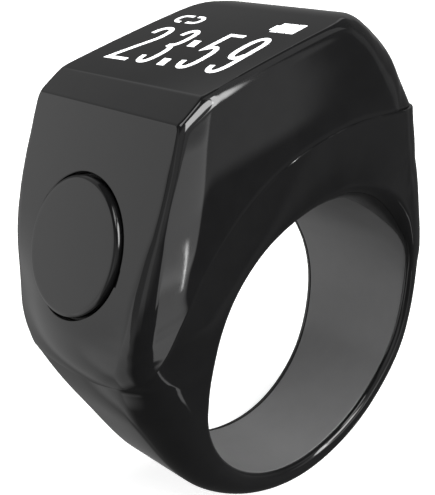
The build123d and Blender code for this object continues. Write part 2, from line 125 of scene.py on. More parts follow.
def through(points, n=2400):
    """Dense points of a smooth curve through the given ones."""
    p = np.array(points, float)
    s = np.concatenate([[0], np.cumsum(np.hypot(*np.diff(p, axis=0).T))])
    u = np.linspace(0, s[-1], n)
    return np.stack([spline(s, p[:, 0])(u), spline(s, p[:, 1])(u)], 1)


def arc(cx, cz, r, a0, a1):
    a = np.radians(np.linspace(a0, a1, 400))
    return np.stack([cx + r * np.cos(a), cz + r * np.sin(a)], 1)


def resample(points, step):
    s = np.concatenate([[0], np.cumsum(np.hypot(*np.diff(points, axis=0).T))])
    keep = np.concatenate([[True], np.diff(s) > 1e-9])
    s, points = s[keep], points[keep]
    u = np.linspace(0, s[-1], int(s[-1] / step) + 1)
    return np.stack([np.interp(u, s, points[:, 0]), np.interp(u, s, points[:, 1])], 1)


def soften(points, sigma):
    """Points at 0.02 mm along a line, with its corners rounded a little."""
    p = resample(points, 0.02)
    k = np.exp(-0.5 * (np.arange(-40, 41) * 0.02 / sigma) ** 2)
    k /= k.sum()
    out = p.copy()
    for i in (0, 1):
        out[40:-40, i] = np.convolve(p[:, i], k, "valid")
    return out


def polar_of(points):
    """Radius over angle, and the cosine between the outward normal and the radius."""
    ang = np.degrees(np.unwrap(np.arctan2(points[:, 1], points[:, 0])))
    rad = np.hypot(points[:, 0], points[:, 1])
    t = np.gradient(points, axis=0)
    t /= np.hypot(t[:, 0], t[:, 1])[:, None]
    e = points / rad[:, None]
    c = np.abs(t[:, 1] * e[:, 0] - t[:, 0] * e[:, 1])
    order = np.argsort(ang)
    ang, rad, c = ang[order], rad[order], c[order]
    return (lambda a: np.interp(a, ang, rad)), (lambda a: np.interp(a, ang, c)), ang


def meet(a, b, r):
    """Inside of both a and b (negative inside), the edge between them rounded by r."""
    u, v = np.maximum(a + r, 0), np.maximum(b + r, 0)
    return np.minimum(np.maximum(a, b), -r) + np.hypot(u, v)


# ------------------------------------------------------------------ lines of the side view (mm)
TILT = math.radians(32.485)
FACE_C = np.array([-12.744, 0.0, 13.079])
FACE_N = np.array([-math.cos(TILT), 0.0, math.sin(TILT)])
FACE_U = np.array([math.sin(TILT), 0.0, math.cos(TILT)])

shoulder = arc(5.35, 15.16, 5.9, 14, 90)


def circle3(p, q, s):
    ax, ay, bx, by, cx, cy = *p, *q, *s
    d = 2 * (ax * (by - cy) + bx * (cy - ay) + cx * (ay - by))
    ux = ((ax * ax + ay * ay) * (by - cy) + (bx * bx + by * by) * (cy - ay) + (cx * cx + cy * cy) * (ay - by)) / d
    uy = ((ax * ax + ay * ay) * (cx - bx) + (bx * bx + by * by) * (ax - cx) + (cx * cx + cy * cy) * (bx - ax)) / d
    return ux, uy, math.hypot(ax - ux, ay - uy)


tx, tz, tr = circle3((5.35, 21.06), (-1.0, 21.05), (-6.34, 20.87))
top_arc = arc(tx, tz, tr, math.degrees(math.atan2(21.06 - tz, 5.35 - tx)), math.degrees(math.atan2(20.87 - tz, -6.34 - tx)))
chin = arc(-11.577, 7.091, 4.2, 147.5, 199.5)
head_line = soften(np.concatenate([
    [(12.518, 10.80), (11.075, 16.587)], shoulder, top_arc, [(-8.31, 20.044), (-15.12, 9.347)], chin, [(-14.536, 2.789)]]), 0.07)
head_rho, head_cos, _ = polar_of(head_line)
# the same line with softer corners, for the rounding of the long edges
easy_rho, easy_cos, _ = polar_of(soften(head_line, 0.35))


def top_z(x):
    return tz + np.sqrt(tr * tr - (x - tx) ** 2)


SEAM = [(13.4, 12.55), (11.92, 12.95), (9.17, 13.65), (7.07, 14.20), (5.13, 14.65), (2.60, 14.87), (-1.00, 14.73), (-4.00, 13.97), (-6.50, 12.80),
        (-8.40, 11.60), (-9.70, 10.55), (-10.60, 9.62), (-11.55, 8.50), (-12.55, 7.33), (-13.50, 6.60), (-14.40, 6.18), (-15.00, 5.85), (-15.50, 5.40), (-16.60, 4.10)]
seam_rho, seam_cos, _ = polar_of(through(SEAM))

band_left = through([(-15.50, 6.6), (-15.25, 5.40), (-14.64, 3.00), (-13.80, 0.65), (-12.46, -2.90), (-10.96, -5.72), (-8.30, -8.36), (-4.87, -10.44),
                     tuple(arc(0, 0, 11.5, 252, 252)[0]), tuple(arc(0, 0, 11.5, 262, 262)[0])])
band_left = band_left[np.arctan2(band_left[:, 1], band_left[:, 0]) % (2 * math.pi) < math.radians(246)]
band_round = arc(0, 0, 11.5, 246.5, 347)
band_back = arc(-18.026, 4.162, 30.0, -13, 0)
band_line = np.concatenate([band_left, band_round, band_back, [(11.974, 9.0), (11.945, 13.6), (11.92, 20.0), (11.9, 44.0)]])
band_line = soften(band_line, 0.25)
band_rho0, band_cos0, _ = polar_of(band_line)
band_start = math.degrees(math.atan2(band_line[0, 1], band_line[0, 0]))
band_end = math.degrees(math.atan2(band_line[-1, 1], band_line[-1, 0]))

# ------------------------------------------------------------------ widths and roundings
far_side = table([(3.0, 0.05), (8.0, 0.05), (10.0, 0.12), (13.0, 0.30), (22.0, 0.30)])
head_half = spline([3, 6, 9, 12, 15, 17, 18.5, 19.5, 20.3, 21, 21.5], [6.2, 6.55, 6.85, 7.05, 7.18, 7.17, 7.10, 7.04, 7.00, 6.97, 6.95])
head_round = table([(46, 2.6), (50.5, 3.0), (54.7, 3.4), (58, 3.7), (62.5, 3.9), (65.5, 3.6), (68.5, 2.9), (71.8, 2.0), (75, 1.25), (77.5, 1.0),
                    (104, 1.0), (107.5, 0.92), (111, 0.74), (115, 0.54), (121, 0.44), (127.5, 0.58), (129.2, 0.70),
                    (133.1, 0.90), (136.7, 1.05), (139.3, 1.15), (142, 1.2), (145, 1.2), (150, 1.2), (156, 1.3), (161, 1.3), (165, 1.3)])
# how much the button face and the chin are curved from side to side
head_bend = table([(46, 0.0), (132, 0.0), (138, 0.003), (141, 0.008), (144, 0.017), (147, 0.030), (150, 0.046), (153, 0.054), (157, 0.054), (161, 0.050), (165, 0.048)])
far_bend = table([(46, 0.0), (131, 0.0), (134, 0.003), (138, 0.011), (141, 0.021), (144, 0.033), (147, 0.045), (150, 0.054), (153, 0.059), (156, 0.056), (159, 0.040), (161, 0.026), (165, 0.018)])
# the long facet beside the button face turns in more and more towards the chin: its slope and how far back it reaches, over height
facet_slope = table([(3.0, 0.16), (5.0, 0.16), (7.0, 0.16), (8.4, 0.15), (9.2, 0.13), (10.0, 0.11), (11.2, 0.10), (22.0, 0.10)])
facet_back = table([(3.0, 5.5), (6.5, 5.5), (7.2, 5.3), (7.7, 5.0), (8.5, 4.5), (9.2, 4.0), (10.0, 3.5), (11.2, 3.0), (13.5, 2.8), (16.0, 2.4), (18.5, 1.9), (22.0, 1.6)])


# how far the rounding of the top's long edges stops short of the top, as a share of its radius
head_crease = table([(46, 0.0), (72, 0.0), (80, 0.19), (106, 0.21), (112.5, 0.20), (115.5, 0.14), (119, 0.0), (165, 0.0)])


def behind(x, z):
    """Depth behind the button face and the chin that carries on from it."""
    dx, dz = x + 11.577, z - 7.091
    ang = np.degrees(np.arctan2(dz, dx)) % 360.0
    ang = np.radians(np.clip(np.where(ang > 353.5, ang - 360.0, ang), 147.5, 199.5))
    return 4.2 - dx * np.cos(ang) - dz * np.sin(ang)


def head_flank(x, z):
    """Half width of the head, with the long facet beside the button face."""
    s = np.minimum(facet_back(z) - behind(x, z), facet_back(z) + 0.8)
    return head_half(z) - facet_slope(z) * 0.5 * (s + np.sqrt(s * s + 0.054))


def head_f(rho, y, deg, shrink=0.0):
    a = np.radians(deg)
    x, z = rho * np.cos(a), rho * np.sin(a)
    d1 = (rho - head_rho(deg)) * head_cos(deg) + 0.5 * np.where(y > 0, far_bend(deg), head_bend(deg)) * y * y + shrink
    d2 = np.abs(y) - head_flank(x, z) - np.where(y > 0, far_side(z), 0.0) + shrink
    r = np.maximum(head_round(deg) - 0.6 * shrink, 0.2)
    d0 = d1 + (rho - easy_rho(deg)) * easy_cos(deg) - (rho - head_rho(deg)) * head_cos(deg)
    f = np.maximum(meet(d0 - head_crease(deg) * r, d2, r), d1)
    if np.isscalar(shrink):
        f = meet(f, (seam_rho(deg) - rho) * seam_cos(deg), 0.05)
    return f


def shoot(f, rho0, drho, dy, far=26.0):
    """Distance along each ray at which f turns positive."""
    lo, hi = np.zeros_like(drho), np.full_like(drho, far)
    for _ in range(44):
        m = 0.5 * (lo + hi)
        inside = f(rho0 + m * drho, m * dy) < 1e-7
        lo, hi = np.where(inside, m, lo), np.where(inside, hi, m)
    return 0.5 * (lo + hi)


def fan(low, high, half, n_side, n_top):
    """Directions from the middle of the foot of each section to points spread round its outline."""
    u = np.linspace(0, 1, n_side)
    side = np.clip(0.3 * u + 0.7 * np.sin(0.5 * math.pi * u), 0, 1)
    v = np.linspace(0, 1, n_top + 2)[1:-1]
    across = -np.cos(math.pi * v) * 0.75 + (2 * v - 1) * 0.25
    h, w = (high - low)[:, None], half[:, None]
    dr = np.concatenate([h * side[None], np.repeat(h, n_top, 1), h * side[None, ::-1]], 1)
    dy = np.concatenate([-np.repeat(w, n_side, 1), w * across[None], np.repeat(w, n_side, 1)], 1)
    n = np.hypot(dr, dy)
    return dr / n, dy / n


def to_xyz(rho, y, deg):
    a = np.radians(deg)
    return np.stack([rho * np.cos(a), y, rho * np.sin(a)], -1)


def mesh_object(name, verts, faces, smooth=38):
    me = bpy.data.meshes.new(name)
    me.from_pydata((np.asarray(verts) * MM).tolist(), [], [tuple(int(i) for i in f) for f in faces])
    me.validate()
    me.update()
    ob = bpy.data.objects.new(name, me)
    scene.collection.objects.link(ob)
    finish_shading(ob, smooth)
    return ob


def finish_shading(ob, smooth):
    ob.data.shade_smooth()
    ob.data.set_sharp_from_angle(angle=math.radians(smooth))


def outward(ob):
    """Faces turned so that they look out of the closed body."""
    import bmesh
    bm = bmesh.new()
    bm.from_mesh(ob.data)
    bmesh.ops.recalc_face_normals(bm, faces=bm.faces)
    bm.to_mesh(ob.data)
    bm.free()


def cut(ob, cutters, smooth=38):
    """Takes the cutters out of a body for good."""
    for c in cutters:
        m = ob.modifiers.new("cut", "BOOLEAN")
        m.operation, m.solver, m.object = "DIFFERENCE", "EXACT", c
    dg = bpy.context.evaluated_depsgraph_get()
    me = bpy.data.meshes.new_from_object(ob.evaluated_get(dg))
    ob.modifiers.clear()
    old = ob.data
    ob.data = me
    bpy.data.meshes.remove(old)
    me.name = ob.name
    for c in cutters:
        d = c.data
        bpy.data.objects.remove(c)
        bpy.data.meshes.remove(d)
    finish_shading(ob, smooth)


def lathe(name, profile, origin, axis, side, steps=192, smooth=38):
    """Body of revolution from (radius, height) points that start and end on the axis."""
    axis, side = np.array(axis, float), np.array(side, float)
    other = np.cross(axis, side)
    a = np.arange(steps) * 2 * math.pi / steps
    ring = np.cos(a)[:, None] * side[None] + np.sin(a)[:, None] * other[None]
    verts, rows = [], []
    for r, h in profile:
        if r < 1e-6:
            rows.append([len(verts)])
            verts.append(np.array(origin) + axis * h)
        else:
            rows.append(list(range(len(verts), len(verts) + steps)))
            verts.extend(np.array(origin) + axis * h + ring * r)
    faces = []
    for p, q in zip(rows[:-1], rows[1:]):
        for i in range(steps):
            j = (i + 1) % steps
            if len(p) == 1:
                faces.append((p[0], q[j], q[i]))
            elif len(q) == 1:
                faces.append((p[i], p[j], q[0]))
            else:
                faces.append((p[i], p[j], q[j], q[i]))
    ob = mesh_object(name, verts, faces, smooth)
    outward(ob)
    return ob


def corner(cx, cy, r, a0, a1, n=8):
    return [(cx + r * math.cos(math.radians(a)), cy + r * math.sin(math.radians(a))) for a in np.linspace(a0, a1, n)]


# ------------------------------------------------------------------ head
p = resample(head_line, 0.02)
deg_p = np.degrees(np.arctan2(p[:, 1], p[:, 0]))
gap = np.hypot(p[:, 0], p[:, 1]) - seam_rho(deg_p)
inside = np.where((gap > 0.15) & (deg_p > 46) & (deg_p < 163))[0]
p = p[inside[0]:inside[-1] + 1]
near = np.minimum(np.hypot(p[:, 0] + 6.34, p[:, 1] - 20.88), np.hypot(p[:, 0] + 8.31, p[:, 1] - 20.044))
want = np.where(near < 0.35, 0.035, 0.165)
pos = np.concatenate([[0], np.cumsum(1 / want)[:-1]]) * 0.02
picks = np.unique(np.searchsorted(pos, np.arange(0, pos[-1], 1.0)))
p = p[picks]
deg = np.degrees(np.arctan2(p[:, 1], p[:, 0]))
low, high = seam_rho(deg), head_rho(deg)
mid = 0.5 * (low + high)
half = head_flank(mid * np.cos(np.radians(deg)), mid * np.sin(np.radians(deg)))
N_SIDE, N_TOP = 44, 74
dr, dy = fan(low, high, half, N_SIDE, N_TOP)
D = np.repeat(deg[:, None], dr.shape[1], 1)
L = np.repeat(low[:, None], dr.shape[1], 1)
t = shoot(lambda rho, y: head_f(rho, y, D), L, dr, dy)
outer = to_xyz(L + t * dr, t * dy, D)
wall = np.repeat(np.minimum(1.15, 0.5 * (high - low))[:, None], dr.shape[1], 1)
t2 = shoot(lambda rho, y: head_f(rho, y, D, wall), L, dr, dy)
# the thin ends of the head are solid, so the hollow runs out there
hollow = np.clip((high - low - 1.0) / 1.6, 0, 1)[:, None]
inner = to_xyz(L + (hollow * t2 + (1 - hollow) * 0.3 * t) * dr, (hollow * t2 + (1 - hollow) * 0.8 * t) * dy, D)
nd, na = dr.shape
verts = np.concatenate([outer.reshape(-1, 3), inner.reshape(-1, 3)])
idx = np.arange(nd * na).reshape(nd, na)
idn = idx + nd * na
faces = []
for a, flip in ((idx, False), (idn, True)):
    q = np.stack([a[:-1, :-1], a[1:, :-1], a[1:, 1:], a[:-1, 1:]], -1).reshape(-1, 4)
    faces.append(q[:, ::-1] if flip else q)
for k in (0, na - 1):
    faces.append(np.stack([idx[:-1, k], idx[1:, k], idn[1:, k], idn[:-1, k]], -1))
for k in (0, nd - 1):
    faces.append(np.stack([idx[k, :-1], idx[k, 1:], idn[k, 1:], idn[k, :-1]], -1))
head = mesh_object("head_shell", verts, np.concatenate(faces))
outward(head)
hole = [(0, 1.6), (4.62, 1.6), (4.455, 0.03)] + corner(4.47, -0.12, 0.12, 112, 180, 8) + [(4.35, -1.7), (0, -1.7)]
cut(head, [lathe("hole_cutter", hole, FACE_C, FACE_N, (0, 1, 0), 240)])

# ------------------------------------------------------------------ band and tray
rim_half = round_table([(-179, 5.12), (-167, 4.78), (-153, 4.48), (-130, 4.22), (-90, 3.98), (-60, 4.22), (-30, 4.78), (-14, 5.08), (0, 5.48), (10, 5.95),
                        (20, 6.33), (30, 6.58), (40, 6.74), (55, 6.82), (70, 6.74), (90, 6.42), (108, 6.12), (126, 6.00), (150, 5.95), (169, 5.58)])
rim_a = round_table([(-180, 0.36), (-90, 0.36), (0, 0.36), (12, 0.40), (22, 0.70), (33, 1.15), (45, 1.45), (55, 1.55), (66, 1.50), (78, 1.2), (92, 0.75), (106, 0.48), (125, 0.36), (150, 0.36)])
rim_b = round_table([(-180, 0.36), (-90, 0.36), (0, 0.36), (12, 0.46), (22, 0.9), (33, 1.8), (45, 2.4), (55, 2.6), (66, 2.5), (78, 2.0), (92, 1.2), (106, 0.62), (125, 0.36), (150, 0.36)])
band_round_r = round_table([(-180, 2.4), (-165, 2.0), (-150, 1.5), (-130, 0.95), (-90, 0.80), (-40, 0.9), (-20, 1.1), (-8, 1.3), (6, 1.4), (17, 1.85), (25, 2.1), (34, 2.2), (43, 2.5), (47, 2.6), (60, 2.6),
                            (120, 1.6), (150, 1.6), (161, 2.2), (170, 2.6)])
seam_step = table([(46, 0.0), (75, 0.02), (95, 0.05), (115, 0.10), (128, 0.14), (142, 0.16), (152, 0.16), (165, 0.16)])


def head_side(deg):
    """Half width of the head's flank where it meets the seam."""
    rho = seam_rho(deg)
    return head_flank(rho * np.cos(np.radians(deg)), rho * np.sin(np.radians(deg)))


def band_outer(deg):
    """Outside of the band. Under the nose it follows the head, a little inside it."""
    d = np.where(deg < band_start, deg + 360, deg)
    rho, c = band_rho0(d), band_cos0(d)
    under = head_rho(deg) - 0.15 / np.maximum(head_cos(deg), 0.3)
    use = np.clip((161.0 - deg) / 3.0, 0, 1) * (deg > 110)
    rho = np.where(deg > 110, rho * (1 - use) + under * use, rho)
    c = np.where(deg > 110, c * (1 - use) + head_cos(deg) * use, c)
    return rho, c


deg = np.unique(np.concatenate([np.arange(0, 360, 0.95), np.arange(44, 52, 0.2), np.arange(150, 168, 0.25)]).round(3)) % 360.0
deg = np.where(deg > 180, deg - 360, deg)
order = np.argsort(deg)
deg = deg[order]
covered = (deg > 40) & (deg < 163.5)
rim_in = 10.0 + rim_a(deg)
out_rho, out_cos = band_outer(deg)
cap = np.where(covered, seam_rho(deg), 60.0)
high = np.minimum(out_rho, cap)
w_rim = rim_half(deg)
fade = table([(40, 0.0), (47, 1.0), (138, 1.0), (146, 0.55), (152, 0.15), (156, 0.0), (170, 0.0)])(deg)
w_top = w_rim + fade * (head_side(np.clip(deg, 47, 161)) - seam_step(deg) - w_rim)


band_flare = table([(-180, 1.3), (125, 1.3), (145, 1.7), (150, 1.9), (165, 1.9), (175, 1.4), (180, 1.3)])
far_flare = table([(-180, 1.3), (125, 1.3), (145, 3.5), (150, 4.5), (165, 4.5), (175, 1.5), (180, 1.3)])
band_bend = table([(-180, 0.012), (-165, 0.0), (120, 0.0), (138, 0.003), (141, 0.008), (144, 0.017), (147, 0.030), (150, 0.046), (153, 0.054), (157, 0.054), (161, 0.050), (166, 0.036), (172, 0.020), (180, 0.012)])


def band_half(rho, y):
    u = np.clip((rho - rim_in[:, None]) / np.maximum(high - rim_in, 0.8)[:, None], 0, 1.5)
    return w_rim[:, None] + (w_top - w_rim)[:, None] * u ** np.where(y > 0, far_flare(deg)[:, None], band_flare(deg)[:, None])


def band_f(rho, y):
    d1 = (rho - out_rho[:, None]) * out_cos[:, None] + 0.5 * np.where(y > 0, 0.2, 1.0) * band_bend(deg)[:, None] * y * y
    d2 = np.abs(y) - band_half(rho, y)
    f = meet(d1, d2, np.minimum(band_round_r(deg), 0.93 * (out_rho - rim_in))[:, None])
    return meet(f, (rho - cap[:, None]) * np.where(covered, seam_cos(deg), 1.0)[:, None], 0.06)


N_SIDE, N_TOP = 34, 64
dr, dy = fan(rim_in, high, 0.5 * (w_rim + w_top), N_SIDE, N_TOP)
t = shoot(band_f, np.repeat(rim_in[:, None], dr.shape[1], 1), dr, dy)
rho, y = rim_in[:, None] + t * dr, t * dy
# recess that holds the works, open towards the head
floor_rho = np.where((deg > 62) & (deg < 107), 12.3 / np.sin(np.radians(np.clip(deg, 30, 150))), 11.8)
dig = ((deg > 50.6) & (deg < 150.5))[:, None] & (np.abs(y) < (w_top - 1.35)[:, None]) & (rho > (high - 0.25)[:, None])
rho = np.where(dig, np.minimum(rho, floor_rho[:, None]), rho)
# rim, lip and seat of the sleeve
e = np.radians(np.linspace(0, 90, 12))[None, 1:]
a, b = rim_a(deg)[:, None], rim_b(deg)[:, None]
w0 = np.abs(y[:, -1:])
rim_rho = 10.0 + a * (1 - np.sin(e))
rim_y = w0 - b * (1 - np.cos(e))
lip = w0 - b - 0.07
seat = np.linspace(1, 0, 16)[None]
in_rho = np.concatenate([rim_rho, np.full_like(lip, 10.0), np.full((len(deg), 16), 10.55)], 1)
in_y = np.concatenate([rim_y, lip, lip * seat], 1)
rho = np.concatenate([rho, in_rho, in_rho[:, ::-1][:, 1:]], 1)
y = np.concatenate([y, in_y, -in_y[:, ::-1][:, 1:]], 1)
verts = to_xyz(rho, y, np.repeat(deg[:, None], rho.shape[1], 1))
nd, na = rho.shape
idx = np.arange(nd * na).reshape(nd, na)
nx, ny = np.roll(idx, -1, 0), np.roll(idx, -1, 1)
faces = np.stack([idx, nx, np.roll(nx, -1, 1), ny], -1).reshape(-1, 4)
band = mesh_object("band_shell", verts.reshape(-1, 3), faces)
outward(band)
contact_dir = np.array([math.cos(math.radians(118)), 0, math.sin(math.radians(118))])


def pins(r, lean, steps):
    return [lathe("pin_cutter", [(0, 9.2), (r, 9.2), (r, 12.6), (0, 12.6)], np.array([0, s * 1.6, 0]), contact_dir, (0, 1, lean), steps) for s in (1, -1)]


cut(band, pins(0.93, 0.0, 48))

# ------------------------------------------------------------------ sleeve in the bore
deg = np.arange(0, 360, 1.0)
end = np.interp(deg, np.linspace(0, 359, 360), rim_half(np.where(deg > 180, deg - 360, deg)))
end = end - rim_b(np.where(deg > 180, deg - 360, deg)) - 0.13
pts = [(10.0, -1 + 0.0)]
rows_r, rows_y = [], []
for s in np.linspace(-1, 1, 33):
    rows_r.append(np.full(360, 10.0))
    rows_y.append(s * (end - 0.06))
for a in np.radians(np.linspace(15, 90, 5)):
    rows_r.append(np.full(360, 10.06 - 0.06 * math.cos(a)))
    rows_y.append(end - 0.06 + 0.06 * math.sin(a))
for s in np.linspace(1, -1, 33):
    rows_r.append(np.full(360, 10.5))
    rows_y.append(s * end)
for a in np.radians(np.linspace(90, 15, 5)):
    rows_r.append(np.full(360, 10.06 - 0.06 * math.cos(a)))
    rows_y.append(-(end - 0.06 + 0.06 * math.sin(a)))
rho, y = np.stack(rows_r, 1), np.stack(rows_y, 1)
verts = to_xyz(rho, y, np.repeat(deg[:, None], rho.shape[1], 1))
idx = np.arange(rho.size).reshape(rho.shape)
nx, ny = np.roll(idx, -1, 0), np.roll(idx, -1, 1)
sleeve = mesh_object("bore_sleeve", verts.reshape(-1, 3), np.stack([idx, nx, np.roll(nx, -1, 1), ny], -1).reshape(-1, 4))
outward(sleeve)
cut(sleeve, pins(0.95, 0.03, 50))

# ------------------------------------------------------------------ push button
edge = 0.30
cap_line = [(0, 0.34), (1.0, 0.34), (2.0, 0.34), (3.0, 0.34), (4.2 - edge - 0.15, 0.34)] + corner(4.2 - edge, 0.34 - edge, edge, 90, 0, 14)
cap_line += [(4.2, -0.43), (4.18, -0.45), (3.97, -0.45), (3.95, -0.47), (3.95, -0.83), (3.97, -0.85), (4.18, -0.85), (4.2, -0.87), (4.2, -1.23), (4.22, -1.25)]
cap_line += corner(4.64, -1.31, 0.06, 90, 0, 4) + corner(4.64, -1.69, 0.06, 0, -90, 4) + [(1.22, -1.75), (1.2, -1.77)] + corner(1.12, -2.27, 0.08, 0, -90, 4) + [(0, -2.35)]
button = lathe("button_shell", cap_line, FACE_C, FACE_N, (0, 1, 0), 224)


# ------------------------------------------------------------------ lit signs of the display
def ribbon(path, width, closed=False):
    """Outline polygons of a stroke: one quad per step, so that they overlap into one shape."""
    q = np.array(path, float)
    n = len(q)
    polys = []
    left, rightp = [], []
    for i in range(n):
        a = q[i - 1] if i > 0 or closed else None
        b = q[(i + 1) % n] if i < n - 1 or closed else None
        d1 = (q[i] - a) / np.linalg.norm(q[i] - a) if a is not None else None
        d2 = (b - q[i]) / np.linalg.norm(b - q[i]) if b is not None else None
        d1 = d2 if d1 is None else d1
        d2 = d1 if d2 is None else d2
        n1, n2 = np.array([-d1[1], d1[0]]), np.array([-d2[1], d2[0]])
        m = n1 + n2
        k = width / max(m @ m, 0.35)
        left.append(q[i] + m * k)
        rightp.append(q[i] - m * k)
    for i in range(n if closed else n - 1):
        j = (i + 1) % n
        polys.append([rightp[i], rightp[j], left[j], left[i]])
    return polys


def covered_by(q, polys):
    """Whether a point lies in one of the polygons."""
    for poly in polys:
        inside = False
        for (ax, ay), (bx, by) in zip(poly, [*poly[1:], poly[0]]):
            if (ay > q[1]) != (by > q[1]) and q[0] < ax + (q[1] - ay) * (bx - ax) / (by - ay):
                inside = not inside
        if inside:
            return True
    return False


def sign(name, polys, lift=0.012, sink=0.02):
    """Thin body over the union of the polygons, lying on the top of the head. Text runs along -Y, its height along +X."""
    vs, fs = [], []
    for poly in polys:
        area = sum(poly[i][0] * poly[(i + 1) % len(poly)][1] - poly[(i + 1) % len(poly)][0] * poly[i][1] for i in range(len(poly)))
        poly = poly if area > 0 else poly[::-1]
        fs.append(list(range(len(vs), len(vs) + len(poly))))
        vs.extend(Vector((float(v[0]), float(v[1]))) for v in poly)
    ov, _, of, *_ = delaunay_2d_cdt(vs, [], fs, 0, 1e-4)
    pts = np.array([(v.x, v.y) for v in ov])
    of = [f for f in of if covered_by(pts[list(f)].mean(0), polys)]
    used = sorted({i for f in of for i in f})
    place = {i: k for k, i in enumerate(used)}
    pts, of = pts[used], [tuple(place[i] for i in f) for f in of]
    n = len(pts)
    x, yy = pts[:, 1], -pts[:, 0]
    z = top_z(x)
    verts = np.concatenate([np.stack([x, yy, z + lift], 1), np.stack([x, yy, z - sink], 1)])
    count, faces = {}, []
    for f in of:
        faces.append(tuple(f))
        faces.append(tuple(i + n for i in reversed(f)))
        for i in range(len(f)):
            count[(f[i], f[(i + 1) % len(f)])] = 1
    for (i, j) in count:
        if (j, i) not in count:
            faces.append((j, i, i + n, j + n))
    ob = mesh_object(name, verts, faces, 30)
    outward(ob)
    return ob


def bow(cx, cy, rx, ry, a0, a1, n=22, power=2.35):
    """Part of a squarish oval."""
    out = []
    for a in np.radians(np.linspace(a0, a1, n)):
        c, s = math.cos(a), math.sin(a)
        out.append((cx + rx * math.copysign(abs(c) ** (2 / power), c), cy + ry * math.copysign(abs(s) ** (2 / power), s)))
    return out


def dense(path, step=0.22):
    out = [np.array(path[0], float)]
    for a, b in zip(path[:-1], path[1:]):
        a, b = np.array(a, float), np.array(b, float)
        k = max(1, int(np.linalg.norm(b - a) / step))
        out += [a + (b - a) * i / k for i in range(1, k + 1)]
    return out


H, SW = 5.25, 0.36


def glyph(kind, x0, y0, wide):
    """Strokes of one numeral in a box H high, with its foot at x0, y0."""
    w, h, r = wide - SW, H - SW, (wide - SW) / 2
    o = SW / 2
    cx = o + r
    if kind == "2":
        strokes = [dense(bow(cx, o + h - 1.15, r, 1.15, 172, -28, 26) + [(o + 0.02, o), (o + w + 0.55, o)])]
    elif kind == "3":
        strokes = [dense(bow(cx, o + h - 1.18, r, 1.18, 165, -62, 26) + [(cx - 0.12, o + h - 2.38)]),
                   dense([(cx - 0.12, o + h - 2.38)] + bow(cx, o + 1.22, r, 1.22, 62, -165, 26))]
    elif kind == "5":
        strokes = [dense([(o + w + 0.16, o + h), (o + 0.10, o + h), (o + 0.02, o + h - 2.25)] + bow(cx, o + 1.48, r, 1.48, 118, -160, 30))]
    else:
        strokes = [dense(bow(cx, o + h - 1.48, r, 1.48, -35, -180, 16) + bow(cx, o + h - 1.48, r, 1.48, 180, 0, 24)[1:]
                         + bow(cx, o + 1.36, r, 1.36, 0, -158, 22))]
    out = []
    for st in strokes:
        out += ribbon([(x0 + px, y0 + py) for px, py in st], SW)
    return out


def turned(polys, k=0.046):
    """The signs stand turned a little to the case."""
    return [[(px - k * py, py + k * px) for px, py in poly] for poly in polys]


# text coordinates: first runs along -Y, second along +X
FOOT = -4.02
polys = []
for kind, x0, wide in (("2", -5.20, 1.62), ("3", -2.62, 1.40), ("5", 0.90, 1.46), ("9", 3.38, 1.46)):
    polys += glyph(kind, x0, FOOT, wide)
for cx0, cy0 in ((-0.14, -3.50), (-0.34, -0.70)):
    polys.append([(cx0 - 0.20, cy0 - 0.46), (cx0 + 0.40, cy0 - 0.46), (cx0 + 0.20, cy0 + 0.46), (cx0 - 0.40, cy0 + 0.46)])
time_sign = sign("display_time", turned(polys))
link_sign = sign("display_link", turned(ribbon(dense([(-4.30, 3.28)] + bow(-4.78, 2.76, 0.50, 0.52, 90, 270, 20, 2.2) + [(-4.62, 2.24)], 0.1), 0.27)
                                        + ribbon(dense([(-3.92, 3.28)] + bow(-3.62, 2.76, 0.50, 0.52, 90, -90, 20, 2.2) + [(-4.06, 2.24)], 0.1), 0.27)))
bars = []
for x0, x1, y0, y1 in ((3.08, 3.45, 2.44, 3.20), (3.36, 3.88, 2.16, 3.62), (3.98, 4.52, 2.17, 3.61), (4.62, 5.18, 2.16, 3.62)):
    bars.append([(x0, y0), (x1, y0), (x1, y1), (x0, y1)])
battery_sign = sign("display_battery", turned(bars))

for ob, body, node, slot in ((head, "casing", "upper_housing", "casing_black"), (band, "casing", "ring_body", "band_black"),
                             (sleeve, "casing", "inner_liner", "liner_grey"), (button, "button", "button_cap", "button_black")):
    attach(ob, body)
    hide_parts(node)
for ob in (time_sign, link_sign, battery_sign):
    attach(ob, "casing")


